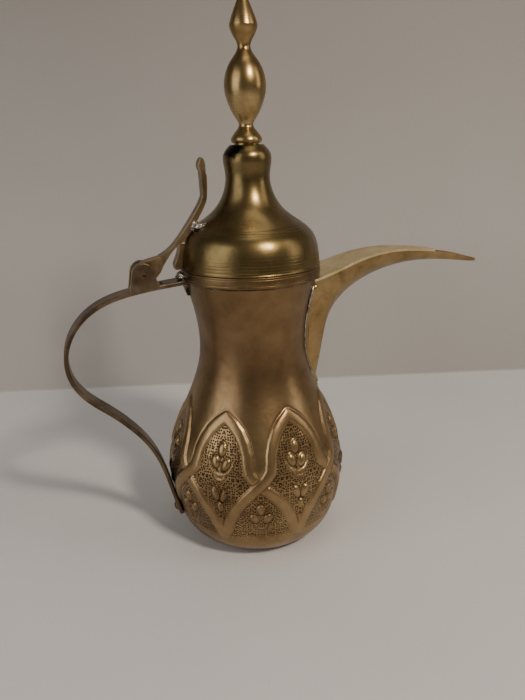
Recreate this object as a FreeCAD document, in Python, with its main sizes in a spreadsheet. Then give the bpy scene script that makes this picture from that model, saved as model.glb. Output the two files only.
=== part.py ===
import FreeCAD, Part
import math
import os
import Sketcher

# A dallah: a tall-necked brass coffee pot with a crescent spout, a strap handle
# and a hinged domed lid.  Millimetres, +Z up, the spout towards +X, the origin at
# the centre of the base where it stands.

SIZES = {
    # sheet and clearances
    "sheet": 1.0,
    # body, outer profile from the base up to the mouth
    "foot_r": 33.8,
    "heel_r": 44.0, "heel_z": 9.4,
    "lower_r": 49.4, "lower_z": 25.2,
    "belly_r": 52.1, "belly_z": 47.2,
    "shoulder_r": 47.6, "shoulder_z": 66.1,
    "slope_r": 39.7, "slope_z": 85.0,
    "waist_r": 31.1, "waist_z": 110.2,
    "neck_r": 31.7, "neck_z": 135.3,
    "mouth_r": 37.2, "mouth_z": 157.4,
    "mouth_top": 162.4,
    "base_thick": 1.5, "base_r": 33.0,
    # collar band round the mouth
    "collar_r": 38.7, "collar_top": 163.4,
    "collar_solder": 1.4,
    # lid dome, outer profile from the rim up to the flat top
    "rim_r": 38.5, "rim_z": 163.6,
    "wall_r": 38.2, "wall_z": 168.0,
    "dome_r": 34.3, "dome_z": 180.9,
    "step_r": 30.8, "step_z": 184.4,
    "cone_r": 19.6, "cone_z": 192.7,
    "stem_r": 12.6, "stem_z": 205.0,
    "stem_mid_r": 12.0, "stem_mid_z": 212.6,
    "stem_top_r": 12.5, "stem_top_z": 222.0,
    "lid_top_r": 8.9, "lid_top_z": 226.5,
    "skirt_r": 35.7, "skirt_wall": 0.8, "skirt_depth": 5.4, "skirt_flange": 1.0,
    # finial, turned solid
    "seat_r": 6.6, "seat_top": 227.4,
    "cup_r": 8.3, "cup_z": 228.8,
    "cup_neck_r": 3.8, "cup_neck_z": 236.4,
    "egg_low_r": 8.1, "egg_low_z": 244.4,
    "egg_r": 10.8, "egg_z": 256.0,
    "egg_high_r": 6.9, "egg_high_z": 267.1,
    "knob_neck_r": 3.3, "knob_neck_z": 273.5,
    "ridge_r": 7.2, "ridge_z": 282.9,
    "point_r": 3.0, "point_z": 294.0,
    "tip_r": 1.2, "overall": 300.0,
    "stud_r": 2.0, "stud_low": 219.0, "stud_top": 236.0,
    "washer_r": 5.5, "washer_thick": 1.2,
    "nut_r": 4.0, "nut_thick": 3.0,
    # handle strap, its ears and the hinge pin
    "strap_wide": 12.0, "strap_thick": 2.4, "strap_round": 0.7,
    "pin_x": -59.6, "pin_z": 162.7, "pin_r": 1.2, "pin_clearance": 0.05,
    "ear_r": 6.3, "slot_wide": 6.4, "slot_floor": 155.9,
    "pin_dome": 0.4,
    "saddle_back": -41.0, "saddle_reach": 14.0, "saddle_thick": 1.3, "bead_side": 0.8,
    "rivet_z": 19.0, "rivet_r": 1.5, "rivet_head_r": 2.7, "rivet_head": 1.2,
    # thumb lever and the strap down the lid's back
    "knuckle_r": 5.8, "knuckle_wide": 6.0, "arm_wide": 7.6,
    # spout
    "cover_thick": 1.2, "cover_over": 0.4,
    "flange_wide": 2.4, "flange_thick": 0.9,
    "solder_wide": 1.1, "solder_thick": 0.6,
    # strainer holes behind the spout
    "strainer_r": 1.6, "strainer_pitch": 6.5, "strainer_rise": 7.5, "strainer_low": 106.0,
}

# Spout stations: top of the trough (x, z), keel (x, z) and half width.
SPOUT = [
    (29.0, 152.6, 31.0, 84.0, 15.2),
    (38.5, 155.0, 38.5, 92.0, 15.0),
    (45.0, 156.9, 39.4, 109.0, 14.4),
    (52.0, 159.1, 42.9, 125.0, 13.4),
    (60.0, 161.6, 50.8, 137.3, 12.2),
    (70.0, 163.9, 63.4, 147.3, 10.6),
    (84.0, 165.2, 82.0, 154.8, 8.3),
    (98.0, 164.6, 98.0, 157.4, 6.2),
    (113.0, 162.9, 113.0, 157.4, 4.6),
    (128.0, 160.3, 128.4, 155.9, 3.4),
    (143.2, 156.2, 143.4, 154.1, 1.8),
]
STRAINER_ROWS = (1, 2, 3, 2, 3, 2)    # holes in each row, from the lowest up
COVERED = 9                           # stations that the top plate covers
# Depth down the spout's side as a share of the keel's, and width there.
SIDE_BULGE = ((0.0, 1.0), (0.25, 0.93), (0.5, 0.78), (0.75, 0.52), (0.93, 0.22))

ABOVE_RIM = 3.0     # how far the trough's hollow runs on above its rim
CLEAR = 40.0        # wider than any piece that it is cut through

# Middle line of the handle strap in the XZ plane, from the collar to the belly.
STRAP = [(-34.0, 157.5), (-50.0, 155.7), (-66.0, 153.4), (-80.0, 149.6), (-92.0, 142.4),
         (-100.6, 131.2), (-103.8, 118.6), (-101.6, 106.6), (-94.4, 96.0), (-84.0, 86.8),
         (-73.6, 76.6), (-65.2, 66.0), (-59.6, 55.4), (-55.9, 44.6), (-53.0, 33.6),
         (-50.9, 25.2), (-48.3, 16.0)]

doc = FreeCAD.newDocument("dallah")
sheet = doc.addObject("Spreadsheet::Sheet", "dims")


class Size:
    """A length with the sheet expression that gives it."""

    def __init__(self, value, text):
        self.value = value
        self.text = text

    def __add__(self, other):
        other = size(other)
        return Size(self.value + other.value, "(%s + %s)" % (self.text, other.text))

    def __sub__(self, other):
        other = size(other)
        return Size(self.value - other.value, "(%s - %s)" % (self.text, other.text))

    def __mul__(self, factor):
        return Size(self.value * factor, "(%s * %s)" % (self.text, factor))

    def __neg__(self):
        return Size(-self.value, "(-1 * %s)" % self.text)


def size(thing):
    """The Size for a sheet name or a plain number."""
    if isinstance(thing, Size):
        return thing
    if isinstance(thing, str):
        return Size(SIZES[thing], "dims." + thing)
    return Size(float(thing), repr(float(thing)))


def fill_sheet():
    for row, (name, value) in enumerate(SIZES.items(), 1):
        sheet.set("A%d" % row, name)
        sheet.set("B%d" % row, str(value))
        sheet.setAlias("B%d" % row, name)
    doc.recompute()


def vector(x, y, z=0.0):
    return FreeCAD.Vector(x, y, z)


def bind(item, name, thing):
    item.setExpression(name, size(thing).text)


def new_body(label):
    body = doc.addObject("PartDesign::Body", label)
    body.Label = label
    doc.recompute()
    return body


def new_sketch(body, name, role, offset=None):
    sketch = body.newObject("Sketcher::SketchObject", name)
    plane = [f for f in body.Origin.OriginFeatures if f.Role == role][0]
    sketch.AttachmentSupport = (plane, "")
    sketch.MapMode = "FlatFace"
    if offset is not None:
        sketch.AttachmentOffset = FreeCAD.Placement(vector(0, 0, offset), FreeCAD.Rotation())
    return sketch


def pin_point(sketch, geometry, end, point):
    """Ties one end of an edge to sheet values across and up."""
    for kind, coordinate in zip(("DistanceX", "DistanceY"), point):
        place = size(coordinate)
        index = sketch.addConstraint(Sketcher.Constraint(kind, -1, 1, geometry, end, place.value))
        bind(sketch, "Constraints[%d]" % index, place)


def spline(points):
    curve = Part.BSplineCurve()
    curve.interpolate(points)
    return curve


def add_runs(sketch, runs, closed=True):
    """Draws runs of (kind, start, points between) end to end and ties each start."""
    count = len(runs)
    edges = []
    for index, run in enumerate(runs):
        kind, points = run[0], list(run[1:])
        if index + 1 < count or closed:
            points.append(runs[(index + 1) % count][1])
        places = [vector(size(x).value, size(y).value) for x, y in points]
        if kind == "line":
            curve = Part.LineSegment(places[0], places[-1])
        elif kind == "curve":
            curve = spline(places)
        else:
            curve = Part.Arc(*places)
        edge = sketch.addGeometry(curve, False)
        start = 1
        if (sketch.getPoint(edge, 1) - places[0]).Length > 0.001:
            start = 2
        edges.append((edge, start))
    for index, (edge, start) in enumerate(edges):
        pin_point(sketch, edge, start, runs[index][1])
        if index + 1 < count or closed:
            following, its_start = edges[(index + 1) % count]
            sketch.addConstraint(
                Sketcher.Constraint("Coincident", edge, 3 - start, following, its_start))


def closed_band(there, back):
    """Runs round a band: a curve along one side, and a curve back along the other."""
    return [("curve",) + tuple(there[:-1]), ("line", there[-1]),
            ("curve",) + tuple(back[:-1]), ("line", back[-1])]


def revolve(body, name, runs):
    """Turns an outline about Z; its seam lies at the side, clear of spout and handle."""
    sketch = new_sketch(body, name + "_outline", "YZ_Plane")
    add_runs(sketch, runs)
    turned = body.newObject("PartDesign::Revolution", name)
    turned.Profile = sketch
    turned.ReferenceAxis = (sketch, ["V_Axis"])
    turned.Angle = 360
    doc.recompute()
    return turned


def pad(body, name, runs, wide):
    """Pads an XZ outline by an equal amount each side of the middle plane."""
    sketch = new_sketch(body, name + "_outline", "XZ_Plane")
    add_runs(sketch, runs)
    padded = body.newObject("PartDesign::Pad", name)
    padded.Profile = sketch
    padded.Midplane = True
    bind(padded, "Length", wide)
    doc.recompute()
    return padded


def pocket_through(body, name, draw, wide):
    """Cuts an XZ outline by an equal amount each side of the middle plane."""
    before = body.Shape.Volume
    sketch = new_sketch(body, name + "_outline", "XZ_Plane")
    draw(sketch)
    cut = body.newObject("PartDesign::Pocket", name)
    cut.Profile = sketch
    cut.Midplane = True
    bind(cut, "Length", wide)
    doc.recompute()
    if body.Shape.Volume > before - 0.5:
        raise RuntimeError(name + " cut nothing")
    return cut


def circle(sketch, x, y, radius):
    place = vector(size(x).value, size(y).value)
    edge = sketch.addGeometry(Part.Circle(place, vector(0, 0, 1), size(radius).value), False)
    pin_point(sketch, edge, 3, (x, y))
    index = sketch.addConstraint(Sketcher.Constraint("Radius", edge, size(radius).value))
    bind(sketch, "Constraints[%d]" % index, radius)


def boolean(kind, label, base, tool):
    result = doc.addObject("Part::" + kind, label)
    result.Base = base
    result.Tool = tool
    result.Label = label
    doc.recompute()
    return result


def cut(label, base, tool):
    return boolean("Cut", label, base, tool)


def solid_feature(label, shape):
    feature = doc.addObject("Part::Feature", label)
    feature.Shape = shape
    feature.Placement = FreeCAD.Placement()
    feature.Label = label
    return feature


# ---------------------------------------------------------------- profiles

BODY_STATIONS = ["heel", "lower", "belly", "shoulder", "slope", "waist", "neck", "mouth"]
LID_STATIONS = ["wall", "dome", "step", "cone", "stem", "stem_mid", "stem_top"]


def station(name):
    return (size(name + "_r"), size(name + "_z"))


def plain(points):
    return [vector(size(x).value, size(z).value) for x, z in points]


def body_points():
    return [("foot_r", 0.0)] + [station(name) for name in BODY_STATIONS]


def lid_points():
    return [station("rim")] + [station(name) for name in LID_STATIONS]


def offset_points(points, distance, count=14):
    """Points at a distance to the right of a spline, evenly spread along it."""
    curve = spline(plain(points))
    first, last = curve.FirstParameter, curve.LastParameter
    moved = []
    for index in range(count + 1):
        parameter = first + (last - first) * index / count
        place = curve.value(parameter)
        along = curve.tangent(parameter)[0]
        moved.append((place.x + along.y * distance, place.y - along.x * distance))
    return moved


# ---------------------------------------------------------------- pot

def make_envelope(label, offset):
    """The pot's outer form as a solid, grown by an offset; the collar is included."""
    body = new_body(label)
    grown = offset_points(body_points(), offset)
    mouth = grown[-1]
    reach = size("collar_r") + offset
    runs = [("curve",) + tuple(grown),
            ("line", (mouth[0], size("mouth_z"))),
            ("line", (reach, size("mouth_z"))),
            ("line", (reach, size("collar_top"))),
            ("line", (0.0, size("collar_top"))),
            ("line", (0.0, grown[0][1]))]
    if offset == 0.0:
        runs[0] = ("curve",) + tuple(body_points()[:-1])
        runs[1] = ("line", station("mouth"))
    revolve(body, label + "_turn", runs)
    return body


def make_shell():
    body = new_body("shell_blank")
    inner = offset_points(body_points(), -SIZES["sheet"])
    inside_r = size("mouth_r") - "sheet"
    lining = [p for p in inner if 2.5 < p[1] < SIZES["mouth_z"] - 2.0]
    lining.reverse()
    revolve(body, "shell_turn", [
        ("curve",) + tuple(body_points()[:-1]),
        ("line", station("mouth")),
        ("line", (size("mouth_r"), size("mouth_top"))),
        ("line", (inside_r, size("mouth_top"))),
        ("curve", (inside_r, size("mouth_z"))) + tuple(lining),
        ("line", (size("base_r"), size("base_thick"))),
        ("line", (size("base_r"), 0.0)),
    ])
    pierce_strainer(body)
    return body


def pierce_strainer(body):
    """Rows of round holes through the neck wall where the spout covers it."""
    before = len(body.Shape.Faces)
    sketch = new_sketch(body, "strainer_holes", "YZ_Plane")
    for row, holes in enumerate(STRAINER_ROWS):
        height = size("strainer_low") + size("strainer_rise") * row
        for hole in range(holes):
            across = size("strainer_pitch") * (hole - (holes - 1) / 2.0)
            circle(sketch, across, height, "strainer_r")
    holes = body.newObject("PartDesign::Pocket", "strainer")
    holes.Profile = sketch
    holes.Reversed = True
    bind(holes, "Length", "collar_r")
    doc.recompute()
    walls = [face for face in body.Shape.Faces if face.CenterOfMass.x > 20.0]
    if len(body.Shape.Faces) < before + sum(STRAINER_ROWS) or len(walls) < sum(STRAINER_ROWS):
        raise RuntimeError("the strainer holes cut nothing")


def make_base_plate():
    body = new_body("base_plate")
    sketch = new_sketch(body, "base_outline", "XY_Plane")
    circle(sketch, 0.0, 0.0, "base_r")
    disc = body.newObject("PartDesign::Pad", "base_disc")
    disc.Profile = sketch
    bind(disc, "Length", "base_thick")
    doc.recompute()
    return body


def make_collar():
    body = new_body("collar_band")
    bevel = 0.5
    revolve(body, "collar_turn", [
        ("line", (size("mouth_r"), size("mouth_z"))),
        ("line", (size("collar_r") - bevel, size("mouth_z"))),
        ("line", (size("collar_r"), size("mouth_z") + bevel)),
        ("line", (size("collar_r"), size("collar_top") - bevel)),
        ("line", (size("collar_r") - bevel, size("collar_top"))),
        ("line", (size("mouth_r") - "sheet", size("collar_top"))),
        ("line", (size("mouth_r") - "sheet", size("mouth_top"))),
        ("line", (size("mouth_r"), size("mouth_top"))),
    ])
    return body


def make_collar_solder(envelope):
    """A thin fillet under the collar's overhang, all round."""
    body = new_body("collar_solder_blank")
    inside = size("mouth_r") - 3.0
    revolve(body, "collar_solder_turn", [
        ("line", (inside, size("mouth_z"))),
        ("line", (inside, size("mouth_z") - "collar_solder")),
        ("line", (size("mouth_r") - 0.35, size("mouth_z") - "collar_solder")),
        ("line", (size("mouth_r") + 0.9, size("mouth_z"))),
    ])
    return cut("collar_solder_ring", body, envelope)


# ---------------------------------------------------------------- spout

def spout_section(top, keel, half, rise=0.0):
    """A boat-shaped outline across the spout, flat on top, with sides raised by rise."""
    down = keel - top
    side = []
    for depth, width in SIDE_BULGE:
        place = top + down * depth
        side.append(vector(place.x, half * width, place.z))
    mirrored = [vector(p.x, -p.y, p.z) for p in reversed(side)]
    hull = spline(side + [keel] + mirrored).toShape()
    ends = [mirrored[-1], side[0]]
    if rise:
        lift = vector(0, 0, rise)
        ends = [mirrored[-1], mirrored[-1] + lift, side[0] + lift, side[0]]
    edges = [hull] + [Part.LineSegment(a, b).toShape() for a, b in zip(ends, ends[1:])]
    return Part.Wire(edges)


def spout_stations(grow=0.0):
    """Top, keel and half width of each station, grown or shrunk evenly."""
    stations = []
    for top_x, top_z, keel_x, keel_z, half in SPOUT:
        top = vector(top_x, 0, top_z)
        keel = vector(keel_x, 0, keel_z)
        down = (keel - top).normalize()
        stations.append((top, keel + down * grow, half + grow))
    return stations


def make_trough_forms():
    outer = Part.makeLoft([spout_section(*s) for s in spout_stations()], True, False)
    hollow = []
    wall = SIZES["sheet"]
    for top, keel, half in spout_stations(-wall)[:-1]:
        hollow.append(spout_section(top, keel, half, ABOVE_RIM))
    last_top, last_keel, last_half = spout_stations()[-1]
    beyond = vector(4.0, 0, -1.6)
    hollow.append(spout_section(last_top + beyond, last_keel + beyond + vector(0, 0, 0.7),
                                last_half * 0.5, ABOVE_RIM))
    inner = Part.makeLoft(hollow, True, False)
    return solid_feature("trough_outer", outer), solid_feature("trough_inner", inner)


def make_cover_form():
    """The top plate: a bent strip in side view, cut to the trough's tapering plan."""
    stations = SPOUT[:COVERED]
    under = [(row[0], row[1]) for row in stations]
    over = [(x, size("cover_thick") + z) for x, z in reversed(under)]
    near = [(row[0], -(size("cover_over") + row[4])) for row in stations]
    far = [(row[0], size("cover_over") + row[4]) for row in reversed(stations)]
    strip = new_body("cover_strip")
    pad(strip, "cover_bend", closed_band(under, over), CLEAR)
    plan = new_body("cover_plan")
    sketch = new_sketch(plan, "cover_plan_outline", "XY_Plane", SIZES["collar_top"])
    add_runs(sketch, closed_band(near, far))
    block = plan.newObject("PartDesign::Pad", "cover_plan_block")
    block.Profile = sketch
    block.Midplane = True
    block.Length = CLEAR
    doc.recompute()
    return boolean("Common", "cover_form", strip, plan)


def make_grown_form(label, grow):
    wires = []
    for top, keel, half in spout_stations(grow)[:4]:
        wires.append(spout_section(top, keel, half))
    return solid_feature(label, Part.makeLoft(wires, True, False))


def make_spout(envelope):
    outer, inner = make_trough_forms()
    trough = cut("spout_trough_open", outer, inner)
    spout_trough = cut("spout_trough", trough, envelope)
    cover = cut("cover_seated", make_cover_form(), outer)
    spout_cover = cut("spout_cover", cover, envelope)

    flange_skin = make_envelope("flange_skin", SIZES["flange_thick"])
    flange_reach = make_grown_form("flange_reach", SIZES["flange_wide"])
    flange = boolean("Common", "flange_patch", flange_reach, flange_skin)
    flange = cut("flange_open", flange, outer)
    flange = cut("flange_seated", flange, envelope)
    spout_flange = cut("spout_flange", flange, spout_cover)

    solder_skin = make_envelope("solder_skin", SIZES["solder_thick"])
    solder_reach = make_grown_form(
        "solder_reach", SIZES["flange_wide"] + SIZES["solder_wide"])
    solder = boolean("Common", "solder_patch", solder_reach, solder_skin)
    solder = cut("solder_open", solder, flange_reach)
    solder = cut("solder_seated", solder, envelope)
    spout_solder = cut("spout_solder", solder, spout_cover)
    return [spout_trough, spout_cover, spout_flange, spout_solder], solder_reach


# ---------------------------------------------------------------- handle

def make_handle_blank():
    body = new_body("handle_blank")
    path = new_sketch(body, "strap_path", "XZ_Plane")
    path.addGeometry(spline(plain(STRAP)), False)
    section = new_sketch(body, "strap_section", "YZ_Plane", STRAP[0][0])
    half = size("strap_wide") * 0.5
    thin = size("strap_thick") * 0.5
    corner = SIZES["strap_round"]
    middle = STRAP[0][1]
    low, high = -thin + middle, thin + middle
    tuck = corner * (1.0 - math.sqrt(0.5))
    add_runs(section, [
        ("line", (-half + corner, low)),
        ("arc", (half - corner, low), (half - tuck, low + tuck)),
        ("line", (half, low + corner)),
        ("arc", (half, high - corner), (half - tuck, high - tuck)),
        ("line", (half - corner, high)),
        ("arc", (-half + corner, high), (-half + tuck, high - tuck)),
        ("line", (-half, high - corner)),
        ("arc", (-half, low + corner), (-half + tuck, low + tuck)),
    ])
    strap = body.newObject("PartDesign::AdditivePipe", "strap")
    strap.Profile = section
    strap.Spine = (path, ["Edge1"])
    doc.recompute()

    pin_x, pin_z, ear_r = size("pin_x"), size("pin_z"), size("ear_r")
    pad(body, "ears", [
        ("curve", (pin_x - 7.8, pin_z - 8.6), (pin_x - 6.8, pin_z - 3.0)),
        ("arc", (pin_x - ear_r, pin_z + 0.6), (pin_x, pin_z + ear_r)),
        ("curve", (pin_x + ear_r, pin_z - 0.4), (pin_x + 6.9, pin_z - 3.6)),
        ("line", (pin_x + 8.6, pin_z - 7.6)),
    ], "strap_wide")
    pocket_through(body, "slot", lambda sketch: add_runs(sketch, [
        ("line", (pin_x - 10.0, size("slot_floor"))),
        ("line", (pin_x + 10.0, size("slot_floor"))),
        ("line", (pin_x + 10.0, pin_z + 12.0)),
        ("line", (pin_x - 10.0, pin_z + 12.0)),
    ]), "slot_wide")
    pocket_through(body, "pin_bore", lambda sketch: circle(sketch, "pin_x", "pin_z", "pin_r"),
                   CLEAR)
    return body


def make_hinge_pin():
    """A plain pin with peened ends that stand a little proud of the ears."""
    body = new_body("hinge_pin")
    sketch = new_sketch(body, "pin_outline", "XY_Plane", SIZES["pin_z"])
    half = size("strap_wide") * 0.5
    pin_x, radius = size("pin_x"), size("pin_r")
    end = half + "pin_dome"
    add_runs(sketch, [
        ("line", (pin_x, -end)),
        ("line", (pin_x, end)),
        ("line", (pin_x + radius * 0.6, end)),
        ("line", (pin_x + radius, half)),
        ("line", (pin_x + radius, -half)),
        ("line", (pin_x + radius * 0.6, -end)),
    ])
    turned = body.newObject("PartDesign::Revolution", "pin_turn")
    turned.Profile = sketch
    turned.ReferenceAxis = (sketch, ["Edge1"])
    turned.Angle = 360
    doc.recompute()
    return body


def along_x(label, runs):
    """A form turned about the rivet's axis, which lies along X."""
    body = new_body(label)
    sketch = new_sketch(body, label + "_outline", "XZ_Plane")
    add_runs(sketch, runs)
    turned = body.newObject("PartDesign::Revolution", label + "_turn")
    turned.Profile = sketch
    turned.ReferenceAxis = (sketch, ["Edge1"])
    turned.Angle = 360
    doc.recompute()
    return body


def make_rivet(shell, strap):
    """A rivet through the handle's foot and the belly wall, headed on both sides."""
    inside, outside = -45.2, -51.4
    axis_z = size("rivet_z")
    shank_top = axis_z + "rivet_r"
    head_top = axis_z + "rivet_head_r"
    shank = along_x("rivet_shank", [
        ("line", (inside, axis_z)),
        ("line", (outside, axis_z)),
        ("line", (outside, shank_top)),
        ("line", (inside, shank_top)),
    ])
    heads = along_x("rivet_heads", [
        ("line", (inside + 0.6, axis_z)),
        ("line", (outside - 0.6, axis_z)),
        ("curve", (outside - 0.6, axis_z + 0.9), (outside, axis_z + 2.1)),
        ("line", (outside + 0.8, head_top)),
        ("line", (inside, head_top)),
    ])
    heads = cut("rivet_heads_seated", heads, shell)
    heads = cut("rivet_heads_formed", heads, strap)
    return boolean("Fuse", "handle_rivet", heads, shank), shank


def make_saddle(envelope, strap):
    """The pointed tang on the neck below the handle's upper end."""
    body = new_body("saddle_blank")
    sketch = new_sketch(body, "saddle_outline", "YZ_Plane", SIZES["saddle_back"])
    half = size("strap_wide") * 0.5
    top = size("mouth_z") - "collar_solder"
    add_runs(sketch, [
        ("line", (-half, top)),
        ("line", (half, top)),
        ("curve", (half - 0.6, top - 1.6), (2.4, top - 4.4)),
        ("curve", (0.0, top - 7.6), (-2.4, top - 4.4)),
        ("line", (-half + 0.6, top - 1.6)),
    ])
    plate = body.newObject("PartDesign::Pad", "saddle_plate")
    plate.Profile = sketch
    bind(plate, "Length", "saddle_reach")
    doc.recompute()
    skin = make_envelope("saddle_skin", SIZES["saddle_thick"])
    patch = boolean("Common", "saddle_patch", body, skin)
    patch = cut("saddle_seated", patch, envelope)
    return cut("handle_saddle", patch, strap)


def make_handle_solder(envelope, strap):
    """The uneven bead that holds the handle's upper end to the collar."""
    body = new_body("solder_bead_blank")
    pad(body, "solder_bead", [
        ("line", (-36.0, 161.4)),
        ("curve", (-38.6, 161.4), (-40.2, 160.4), (-41.6, 159.0)),
        ("line", (-44.6, 157.6)),
        ("line", (-44.6, 156.2)),
        ("line", (-36.0, 156.2)),
    ], size("strap_wide") - size("bead_side") * 2.0)
    bead = cut("solder_bead_seated", body, envelope)
    return cut("handle_solder", bead, strap)


# ---------------------------------------------------------------- lid

def lid_outline():
    """The dome's outer curve from the rim to the flat top's edge."""
    return ("curve",) + tuple(lid_points())


def make_lid_envelope():
    body = new_body("lid_envelope")
    revolve(body, "lid_envelope_turn", [
        lid_outline(),
        ("line", (size("lid_top_r"), size("lid_top_z"))),
        ("line", (0.0, size("lid_top_z"))),
        ("line", (0.0, size("rim_z"))),
    ])
    return body


def make_lid_dome():
    body = new_body("lid_dome")
    wall = SIZES["sheet"]
    inner = offset_points(lid_points(), -wall, 18)
    rim_inside = size("rim_r") - "sheet"
    lining = [p for p in inner if SIZES["rim_z"] + 3.0 < p[1] < SIZES["stem_top_z"] + 0.5]
    lining.reverse()
    revolve(body, "lid_turn", [
        lid_outline(),
        ("line", (size("lid_top_r"), size("lid_top_z"))),
        ("line", (size("stud_r"), size("lid_top_z"))),
        ("line", (size("stud_r"), size("lid_top_z") - "sheet")),
        ("line", (size("lid_top_r") - 0.4, size("lid_top_z") - "sheet")),
        ("curve", (size("stem_top_r") - "sheet", size("stem_top_z") - 0.4)) + tuple(lining),
        ("line", (rim_inside, size("rim_z") + "skirt_flange")),
        ("line", (rim_inside, size("rim_z"))),
    ])
    return body


def make_lid_skirt():
    body = new_body("lid_skirt")
    inside = size("skirt_r") - "skirt_wall"
    flange_top = size("rim_z") + "skirt_flange"
    low = size("rim_z") - "skirt_depth"
    revolve(body, "skirt_turn", [
        ("line", (inside, low)),
        ("line", (size("skirt_r"), low)),
        ("line", (size("skirt_r"), size("rim_z"))),
        ("line", (size("rim_r") - "sheet", size("rim_z"))),
        ("line", (size("rim_r") - "sheet", flange_top)),
        ("line", (inside, flange_top)),
    ])
    return body


def make_finial():
    body = new_body("finial")
    revolve(body, "finial_turn", [
        ("line", (size("stud_r"), size("lid_top_z"))),
        ("line", (size("seat_r"), size("lid_top_z"))),
        ("line", (size("seat_r"), size("seat_top"))),
        ("line", (size("cup_r") - 0.7, size("seat_top"))),
        ("curve", (size("cup_r"), size("cup_z")), (6.0, 232.7), station("cup_neck"),
         (5.4, 239.6), station("egg_low"), station("egg"), (9.4, 262.4), station("egg_high"),
         station("knob_neck"), (5.4, 278.3)),
        ("curve", station("ridge"), (4.9, 289.6), station("point")),
        ("curve", (size("tip_r"), size("overall") - 0.8)),
        ("line", (0.0, size("overall"))),
        ("line", (0.0, size("stud_top"))),
        ("line", (size("stud_r"), size("stud_top"))),
    ])
    return body


def make_finial_stud():
    stud = doc.addObject("Part::Cylinder", "finial_stud")
    stud.Label = "finial_stud"
    bind(stud, "Radius", "stud_r")
    bind(stud, "Height", size("stud_top") - "stud_low")
    bind(stud, "Placement.Base.z", "stud_low")
    doc.recompute()
    return stud


def make_washer():
    body = new_body("finial_washer")
    sketch = new_sketch(body, "washer_outline", "XY_Plane", SIZES["lid_top_z"] - SIZES["sheet"])
    circle(sketch, 0.0, 0.0, "washer_r")
    circle(sketch, 0.0, 0.0, "stud_r")
    ring = body.newObject("PartDesign::Pad", "washer_ring")
    ring.Profile = sketch
    ring.Reversed = True
    bind(ring, "Length", "washer_thick")
    doc.recompute()
    return body


def make_nut():
    body = new_body("finial_nut")
    top = SIZES["lid_top_z"] - SIZES["sheet"] - SIZES["washer_thick"]
    sketch = new_sketch(body, "nut_outline", "XY_Plane", top)
    radius = size("nut_r")
    corners = []
    for index in range(6):
        angle = math.radians(60.0 * index)
        corners.append((radius * round(math.cos(angle), 6), radius * round(math.sin(angle), 6)))
    add_runs(sketch, [("line", corner) for corner in corners])
    circle(sketch, 0.0, 0.0, "stud_r")
    prism = body.newObject("PartDesign::Pad", "nut_prism")
    prism.Profile = sketch
    prism.Reversed = True
    bind(prism, "Length", "nut_thick")
    doc.recompute()
    return body


def make_thumb_lever(lid_envelope):
    """Knuckle between the ears, an arm up to the dome and an upright thumb piece."""
    body = new_body("lever_blank")
    pin_x, pin_z, knuckle_r = size("pin_x"), size("pin_z"), size("knuckle_r")
    pad(body, "knuckle", [
        ("arc", (pin_x - 1.5, pin_z + 5.6), (pin_x - knuckle_r, pin_z)),
        ("curve", (pin_x + 1.0, pin_z - 5.7), (pin_x + 5.0, pin_z - 3.9)),
        ("line", (pin_x + 10.6, pin_z + 2.4)),
        ("line", (pin_x + 10.6, pin_z + 8.9)),
        ("curve", (pin_x + 7.4, pin_z + 8.2), (pin_x + 3.0, pin_z + 7.2)),
    ], "knuckle_wide")
    pad(body, "arm", [
        ("curve", (pin_x + 9.2, pin_z + 0.6), (-46.3, 169.9), (-41.9, 175.2), (-37.4, 179.0),
         (-32.9, 183.2), (-28.4, 190.4), (-25.0, 196.2)),
        ("curve", (-23.5, 199.8), (-22.9, 206.6)),
        ("curve", (-22.9, 212.0), (-23.4, 217.0), (-24.2, 220.2)),
        ("arc", (-25.0, 221.0), (-25.8, 220.2)),
        ("curve", (-26.1, 214.0), (-25.8, 207.6)),
        ("curve", (-25.6, 201.6), (-27.6, 197.4), (-31.8, 190.9), (-36.0, 185.0),
         (-40.2, 179.6), (-45.0, 174.7)),
        ("line", (pin_x + 9.2, pin_z + 8.8)),
    ], "arm_wide")
    pocket_through(body, "knuckle_bore",
                   lambda sketch: circle(sketch, "pin_x", "pin_z",
                                         size("pin_r") + "pin_clearance"), CLEAR)
    return cut("thumb_lever", body, lid_envelope)


def make_lid_strap(lid_envelope, lever):
    """The leg from under the lever down the lid's back to its rim."""
    body = new_body("lid_strap_blank")
    pad(body, "leg", [
        ("line", (-36.0, 163.9)),
        ("line", (-42.3, 163.9)),
        ("curve", (-42.7, 166.4), (-41.6, 168.8), (-40.6, 171.2)),
        ("line", (-40.2, 178.0)),
        ("line", (-36.0, 178.0)),
    ], "arm_wide")
    leg = cut("lid_strap_seated", body, lid_envelope)
    return cut("lid_strap", leg, lever)


def make_lever_solder(lid_envelope, lever):
    body = new_body("lever_solder_blank")
    pad(body, "lever_bead", [
        ("line", (-34.8, 180.4)),
        ("curve", (-33.6, 180.0), (-30.9, 181.6)),
        ("line", (-26.5, 184.0)),
        ("curve", (-26.5, 188.6), (-28.2, 190.0)),
        ("line", (-29.2, 189.6)),
    ], size("arm_wide") + size("bead_side") * 2.0)
    bead = cut("lever_solder_seated", body, lid_envelope)
    return cut("lever_solder", bead, lever)


# ---------------------------------------------------------------- assembly

fill_sheet()
envelope = make_envelope("pot_envelope", 0.0)
shell_blank = make_shell()
collar = make_collar()
collar_solder_ring = make_collar_solder(envelope)
spout_parts, spout_reach = make_spout(envelope)

handle_blank = make_handle_blank()
handle_seated = cut("handle_seated", handle_blank, envelope)
handle_rivet, rivet_shank = make_rivet(shell_blank, handle_seated)
handle = cut("handle", handle_seated, rivet_shank)
body_shell = cut("body_shell", shell_blank, rivet_shank)
handle_saddle = make_saddle(envelope, handle_seated)
handle_solder = make_handle_solder(envelope, handle_seated)
collar_solder = cut("collar_solder_behind", collar_solder_ring, handle_seated)
collar_solder = cut("collar_solder_before", collar_solder, spout_reach)
collar_solder = cut("collar_solder", collar_solder, spout_parts[1])

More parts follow.
